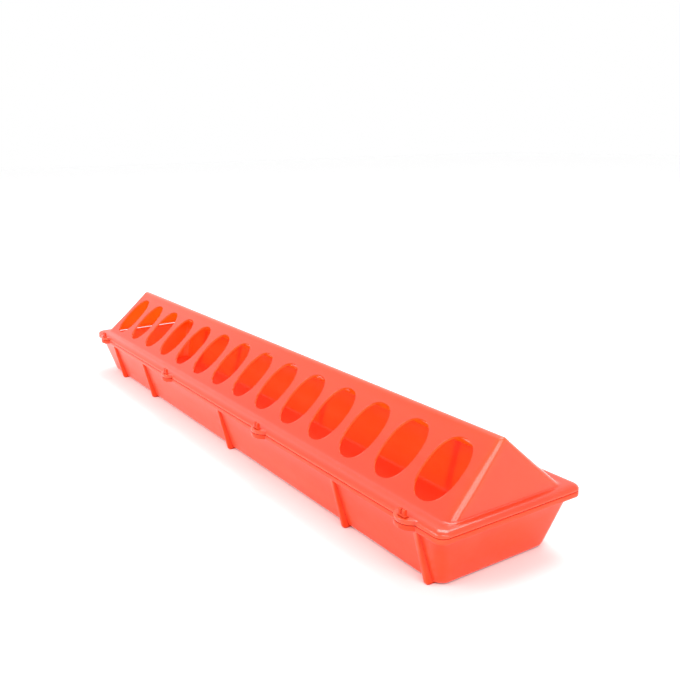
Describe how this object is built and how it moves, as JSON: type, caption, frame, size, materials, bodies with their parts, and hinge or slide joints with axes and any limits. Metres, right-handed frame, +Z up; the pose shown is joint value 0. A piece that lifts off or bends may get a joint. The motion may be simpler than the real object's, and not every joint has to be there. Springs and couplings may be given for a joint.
{
  "type": "trough feeder",
  "caption": "Long flip-top feed trough for young poultry, with a peaked cover of oval feeding holes that swings open on its back edge.",
  "frame": {"origin": "middle of the flat floor face that the feeder rests on", "axes": "+X along the length, -Y to the front with the snap posts, +Z up"},
  "size_m": [0.5, 0.1064, 0.0702],
  "materials": {
    "trough_plastic": "glossy injection-moulded polypropylene, slightly translucent coral red",
    "cover_plastic": "glossy injection-moulded polypropylene, slightly translucent coral red, a shade paler",
    "post_plastic": "glossy injection-moulded polypropylene, deeper red where the section is thick"
  },
  "bodies": {
    "base": {"trough": "trough_plastic", "front_snap_post_1": "post_plastic", "front_snap_post_2": "post_plastic", "front_snap_post_3": "post_plastic", "front_snap_post_4": "post_plastic", "back_hinge_post_1": "post_plastic", "back_hinge_post_2": "post_plastic", "back_hinge_post_3": "post_plastic", "back_hinge_post_4": "post_plastic"},
    "lid": {"cover": "cover_plastic"}
  },
  "joints": [
    {"name": "lid_flip", "type": "hinge", "parent": "base", "child": "lid", "pos_m": [0, 0.05205, 0.0353], "axis": [-1, 0, 0], "range_deg": [0, 175]}
  ]
}
